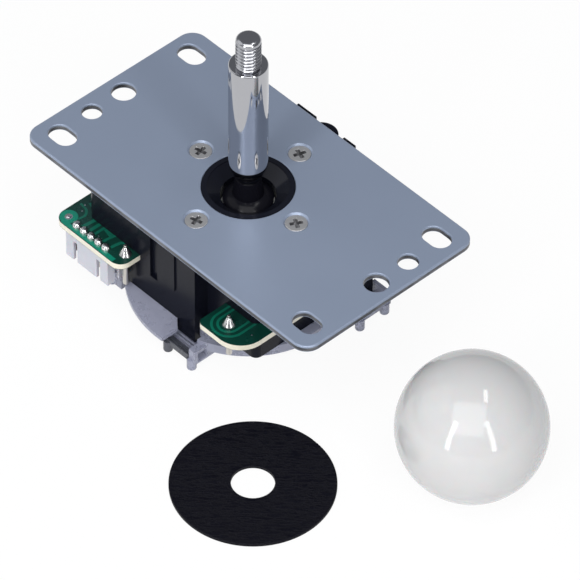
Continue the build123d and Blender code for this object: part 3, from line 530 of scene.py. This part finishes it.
POINT = screw_low.z * 1000
screw_profile = [(0, POINT), (SHANK - 0.3, POINT), (SHANK, POINT + 0.3), (SHANK, HEAD_TOP - 1.2),
                 (HEAD_RADIUS - 0.12, HEAD_TOP - 0.26), (HEAD_RADIUS, HEAD_TOP - 0.16),
                 (HEAD_RADIUS - 0.06, HEAD_TOP - 0.05)]
screw_profile += [(r / 16, HEAD_TOP) for r in range(41, 0, -1)] + [(0, HEAD_TOP)]
one_screw = turned("one_screw", screw_profile, steps=96, shape=crossed)
SCREW_CIRCLE = 16
SCREW_SPOTS = [(SCREW_CIRCLE, 0, 0), (-SCREW_CIRCLE, 0, 0), (0, SCREW_CIRCLE, 0), (0, -SCREW_CIRCLE, 0)]
screws = piece("screws", repeated("screws", one_screw, SCREW_SPOTS, 1.5, 0.0, 4, screw_steel), "base",
               screw_steel, "screw_steel", "plate_screws")
print("screws", len(screws.data.polygons), "faces")

# %% [markdown]
# ## Solder and copper
# Solder climbs its pin: low rounded heaps round the connector pins, and tall hollow
# sided cones round the two posts. The traces are bands just proud of the lacquer.

# %% Solder joints
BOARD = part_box("circuit_board")[1].z * 1000
PIN_MIDDLE, PIN_PITCH, PIN_LINE = -25.05, 2.475, -25.8
PIN_ROW = [(PIN_MIDDLE + PIN_PITCH * (i - 2), PIN_LINE, BOARD) for i in range(5)]
POSTS = [(-15.8, -23.55, BOARD), (16.8, -21.4, BOARD)]
heap = turned("heap", [(0, 0), (1.12, 0), (1.11, 0.15), (1.06, 0.42), (0.97, 0.70), (0.84, 0.95),
                       (0.68, 1.12), (0.50, 1.20), (0, 1.20)], steps=40)
dot = turned("dot", [(0, 0), (0.90, 0), (0.86, 0.30), (0.72, 0.62), (0.57, 0.82), (0.50, 0.89),
                     (0, 0.89)], steps=32)
cone = turned("cone", [(0, 0), (1.55, 0), (1.50, 0.12), (1.32, 0.40), (1.12, 0.80), (0.92, 1.20),
                       (0.72, 1.60), (0.55, 1.95), (0.44, 2.10), (0, 2.10)], steps=40)
ROW, ALONG = 14.9, (-12.2, -5.8, 0.6)
TERMINALS = [(x * math.cos(a) + ROW * math.sin(a), x * math.sin(a) - ROW * math.cos(a), BOARD)
             for a in (0, math.pi / 2, math.pi, -math.pi / 2) for x in ALONG]
solder = bmesh.new()
for name, shape, places, spread, seed in (("heaps", heap, PIN_ROW, 0.05, 7),
                                          ("dots", dot, TERMINALS, 0.05, 8),
                                          ("cones", cone, POSTS, 0.0, 3)):
    solder.from_mesh(repeated(name, shape, places, 6.28, spread, seed, solder_bright))
solder_piece = piece("solder", tidy(solder, "solder", 50), "base", solder_bright, "solder",
                     "solder_joints")
print("solder", len(solder_piece.data.polygons), "faces")

# %% Copper traces under the lacquer
trace_green = lacquer("trace_green", (0.004, 0.110, 0.070), (0.006, 0.155, 0.100))
TRACES = [
    ([(-26.9, -24.6), (-26.9, -22.2), (-26.5, -17.5)], 0.9, 1.6),
    ([(-25.3, -24.6), (-25.3, -22.0), (-24.9, -19.0)], 0.7, 1.6),
    ([(-23.6, -22.4), (-22.9, -19.8), (-20.6, -16.6)], 2.6, 1.6),
    ([(-22.3, -24.8), (-21.8, -21.5), (-17.6, -17.3)], 0.7, 1.6),
    ([(-19.6, -24.8), (-19.2, -22.2), (-16.4, -18.6)], 0.8, 1.6),
    ([(-29.0, -24.9), (-28.6, -21.0), (-29.9, -19.3), (-33.6, -18.5)], 0.9, 1.6),
    ([(-31.5, -24.0), (-31.2, -22.0), (-32.4, -20.6), (-35.0, -20.2)], 0.6, 1.6),
    ([(20.9, -12.0), (20.9, -25.4), (12.8, -25.4), (12.8, -16.0)], 0.6, 4.0),
    ([(19.4, -12.0), (19.4, -24.0), (14.2, -24.0), (14.2, -16.0)], 0.6, 2.6),
]
FOIL, PROUD, SUNK = 0.05, 0.015, 0.02
copper = bmesh.new()
for number, (spots, width, bend) in enumerate(TRACES):
    path = [(x, y, BOARD + PROUD) for x, y in spots]
    copper.from_mesh(band("trace_" + str(number), path, width, FOIL, bend, trace_green))
traces = piece("traces", tidy(copper, "traces", 50), "base", trace_green, "board_green")

# The broad edge strip has thin lacquer and shows brighter, and a tinned pad lies bare
edge_green = lacquer("edge_green", (0.004, 0.190, 0.120), (0.006, 0.240, 0.155))
PAD = (-33.6, -25.1, BOARD)
STRIP_ENDS = [(-33.6, -26.95, BOARD + 0.012), (-16.0, -26.95, BOARD + 0.012)]
ground = turned("ground", [(0, -SUNK), (2.2, -SUNK), (2.2, 0.05), (0, 0.05)])
bright = bmesh.new()
bright.from_mesh(band("edge_strip", STRIP_ENDS, 1.2, FOIL, 1.0, edge_green))
bright.from_mesh(repeated("pad_ground", ground, [PAD], 0.0, 0.0, 5, edge_green))
piece("edge_strip", tidy(bright, "edge_strip", 50), "base", edge_green, "board_green")
pad = turned("pad", [(0, -SUNK), (0.95, -SUNK), (0.95, 0.07), (0.55, 0.09), (0.48, 0.16),
                     (0.30, 0.22), (0, 0.24)], steps=40)
via = turned("via", [(0, -SUNK), (0.17, -SUNK), (0.17, 0.04), (0.10, 0.07), (0, 0.07)], steps=16)
VIAS = [(x, y, BOARD) for x, y in ((-32.9, -21.6), (-33.9, -19.8), (-28.6, -18.2),
                                   (-24.2, -24.2), (22.9, -20.0))]
bare = bmesh.new()
for name, shape, places in (("pads", pad, [PAD]), ("vias", via, VIAS)):
    bare.from_mesh(repeated(name, shape, places, 0.0, 0.0, 5, solder_bright))
piece("pads", tidy(bare, "pads", 50), "base", solder_bright, "solder")
print("traces", len(traces.data.polygons), "faces, pads and vias", 1 + len(VIAS))

# %% [markdown]
# ## Centring spring
# The spring is a round wire along a spiral. Its foot stands in the actuator cup, and
# the collar presses its top down.

# %% Spring
spring_low, spring_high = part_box("centring_spring")
WIRE, TURNS, PRESS = 0.4, 5.5, 1.2
coil = (spring_high.x - spring_low.x) / 2 - WIRE * MM
rise = spring_high.z - spring_low.z - 2 * WIRE * MM
grow = Growth("spring", Radius=("Float", coil), Rise=("Float", rise), Turns=("Float", TURNS),
              Wire=("Float", WIRE * MM), Foot=("Vector", (0, 0, spring_low.z + WIRE * MM)),
              Material=("Material", spring_steel.material))
spiral = grow.node("GeometryNodeCurveSpiral", {}, {
    "Resolution": 40, "Rotations": grow.given["Turns"], "Start Radius": grow.given["Radius"],
    "End Radius": grow.given["Radius"], "Height": grow.given["Rise"]})
wire_round = grow.node("GeometryNodeCurvePrimitiveCircle", {"mode": "RADIUS"}, {
    "Resolution": 14, "Radius": grow.given["Wire"]})
wound = grow.node("GeometryNodeCurveToMesh", {}, {
    "Curve": spiral, "Profile Curve": wire_round, "Fill Caps": True})
stood = grow.node("GeometryNodeTransform", {}, {
    "Geometry": wound, "Translation": grow.given["Foot"]})
coils = bmesh.new()
coils.from_mesh(grow.plain_mesh(points("spring_seed", [(0, 0, 0)]), stood))
spring = piece("spring", tidy(coils, "spring", 60), "lever", spring_steel, "spring_steel",
               "centring_spring")
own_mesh(spring)

# %% [markdown]
# ## Ball knob
# The knob is a moulded ball, milky white, with a flat round its threaded hole. The
# white lets a little light in, which softens its shadow side.

# %% Knob
knob_white = plastic("knob_white", (0.54, 0.54, 0.54), 0.05, 0.0, 0.02,
                     Subsurface_Weight=0.2, Subsurface_Scale=0.004, IOR=1.45)
knob_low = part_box("ball_knob")[0]
insert_low, insert_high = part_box("knob_insert")
knob_centre = [500 * (insert_low[i] + insert_high[i]) for i in (0, 1)]
KNOB_RADIUS, FLAT_RADIUS, SOCKET_RADIUS, SOCKET_DEPTH, ARC_STEPS = 17.5, 6.0, 4.55, 14.05, 80
KNOB_FOOT = knob_low.z * 1000
knob_middle = KNOB_FOOT + math.sqrt(KNOB_RADIUS ** 2 - FLAT_RADIUS ** 2)
start = math.asin(FLAT_RADIUS / KNOB_RADIUS)
knob_profile = [(0, KNOB_FOOT + SOCKET_DEPTH), (SOCKET_RADIUS, KNOB_FOOT + SOCKET_DEPTH),
                (SOCKET_RADIUS, KNOB_FOOT)]
for i in range(ARC_STEPS + 1):
    a = start + (math.pi - start) * i / ARC_STEPS
    knob_profile.append((KNOB_RADIUS * math.sin(a), knob_middle - KNOB_RADIUS * math.cos(a)))
knob_profile[-1] = (0, knob_middle + KNOB_RADIUS)
knob = piece("knob", turned("knob", knob_profile, knob_centre, 128), "base", knob_white,
             "knob_white", "ball_knob")
print("knob", len(knob.data.polygons), "faces, centre",
      [round(v, 2) for v in (*knob_centre, knob_middle)])

# %% [markdown]
# ## Dust disc
# The disc slides under a control panel and keeps dust out. Its face has a pressed
# leather grain: cells with soft creases between them, and fine wrinkles over them.

# %% Disc finish
disc_black = Finish("disc_black", IOR=1.45, Specular_IOR_Level=0.10)
flat = disc_black.place((1, 1, 0.2))
bend = disc_black.noise(flat, 0.5, 2)
cells = disc_black.node("ShaderNodeTexVoronoi", {"feature": "DISTANCE_TO_EDGE"}, {
    "Vector": flat, "Scale": 0.75})
along = disc_black.node("ShaderNodeMapping", {}, {
    "Vector": disc_black.place((1, 1, 0.2), (0, 0, -0.815)), "Scale": (0.30, 1.5, 1)})
wrinkle = disc_black.noise(along, 0.8, 4, 0.6)
crease = ((wrinkle - 0.5).size() * 14).held()
grain = cells.math("MINIMUM", cells * 2.2, 0.6)
skin = crease * 0.7 + grain * 0.4 + bend * 0.2
disc_black.feed(Base_Color=disc_black.mix(wrinkle, (0.003, 0.003, 0.006), (0.006, 0.006, 0.010)),
                Roughness=0.30 + wrinkle * 0.25)
disc_black.bump(skin, 0.55, 0.0003)
wear("dust_disc", disc_black)
print("disc finish made")

# %% [markdown]
# ## Floor, light and camera
# The part stands on a white floor in a plain studio. The camera has a very long
# lens and looks down at 45 degrees from the front right, as the photograph does.

# %% Floor
CLEAR, REACH = 0.00002, 3
FLOOR = knob_low.z - CLEAR
floor_mesh = bpy.data.meshes.new("floor")
floor_mesh.from_pydata([(x * REACH, y * REACH, FLOOR) for x, y in ((-1, -1), (1, -1), (1, 1), (-1, 1))],
                       [], [(0, 1, 2, 3)])
floor = bpy.data.objects.new("floor", floor_mesh)
bpy.context.scene.collection.objects.link(floor)
floor_white = Finish("floor_white", Base_Color=(0.9, 0.9, 0.9, 1), Roughness=0.6)
rays = floor_white.node("ShaderNodeLightPath")
seen = [Value(floor_white, rays.socket.node.outputs[name])
        for name in ("Is Camera Ray", "Is Glossy Ray", "Is Transmission Ray")]
WHITE_SHARE = 0.93
shown_to = (seen[0] + seen[1] + seen[2]).held()
glow = floor_white.node("ShaderNodeEmission", {}, {"Strength": 1.0})
plain = Value(floor_white, floor_white.shader.outputs[0])
shown = floor_white.node("ShaderNodeMixShader", {}, {
    "Fac": shown_to * WHITE_SHARE, "Shader": plain, "Shader_001": glow})
surface = floor_white.tree.nodes["Material Output"].inputs["Surface"]
floor_white.tree.links.new(shown.socket, surface)
floor_mesh.materials.append(floor_white.material)

# %% World and lamps
world = bpy.data.worlds.new("studio")
bpy.context.scene.world = world
world.use_nodes = True
sky = world.node_tree.nodes["Background"]
sky.inputs["Color"].default_value = (0.90, 0.93, 1.0, 1)
sky.inputs["Strength"].default_value = 0.22


def lamp(name, place, target, size, power):
    """An area lamp that faces its target. Sizes are in metres, power in watts."""
    light = bpy.data.lights.new(name, "AREA")
    light.shape, light.size, light.size_y = "RECTANGLE", size[0], size[1]
    light.energy = power
    made = bpy.data.objects.new(name, light)
    bpy.context.scene.collection.objects.link(made)
    made.location = place
    made.rotation_euler = (Vector(target) - Vector(place)).to_track_quat("-Z", "Y").to_euler()


def around(azimuth, elevation, distance=1.0):
    """A point at this distance, seen at these angles in degrees."""
    a, e = math.radians(azimuth), math.radians(elevation)
    return Vector((math.sin(a) * math.cos(e), -math.cos(a) * math.cos(e), math.sin(e))) * distance


lamp("key", around(40, 55, 1.0), (0.01, 0, 0), (0.9, 0.9), 7.6)
lamp("left", around(-50, 35, 0.8), (0, 0, 0), (0.7, 0.8), 1.4)
lamp("high", around(139, 70, 1.0), (0.03, 0, 0), (0.34, 0.09), 0.9)
lamp("strip_left", around(15, 25, 0.9), (0.03, 0, 0), (0.11, 0.7), 2.4)
lamp("strip_right", around(78, 25, 0.9), (0.03, 0, 0), (0.11, 0.7), 2.0)

# %% Camera
AZIMUTH, ELEVATION, ROLL = 46.695, 45.126, math.radians(0.466)
ASIDE, BELOW, AWAY = 9.492, 23.736, 1481.8
SENSOR, FOCUS, PICTURE = 36.0, 6522.0, 580
back = around(AZIMUTH, ELEVATION)
level_right = around(AZIMUTH + 90, 0)
level_up = back.cross(level_right)
right = math.cos(ROLL) * level_right + math.sin(ROLL) * level_up
up = -math.sin(ROLL) * level_right + math.cos(ROLL) * level_up
eye = (right * ASIDE - up * BELOW + back * AWAY) * MM
camera_data = bpy.data.cameras.new("camera")
camera_data.sensor_width, camera_data.lens = SENSOR, FOCUS * SENSOR / PICTURE
camera_data.clip_start, camera_data.clip_end = 0.1, 20
camera = bpy.data.objects.new("camera", camera_data)
bpy.context.scene.collection.objects.link(camera)
camera.matrix_world = Matrix.Translation(eye) @ Matrix((right, up, back)).transposed().to_4x4()
bpy.context.scene.camera = camera
bpy.context.scene.view_settings.view_transform = "Standard"
print("camera at", [round(v, 3) for v in eye])
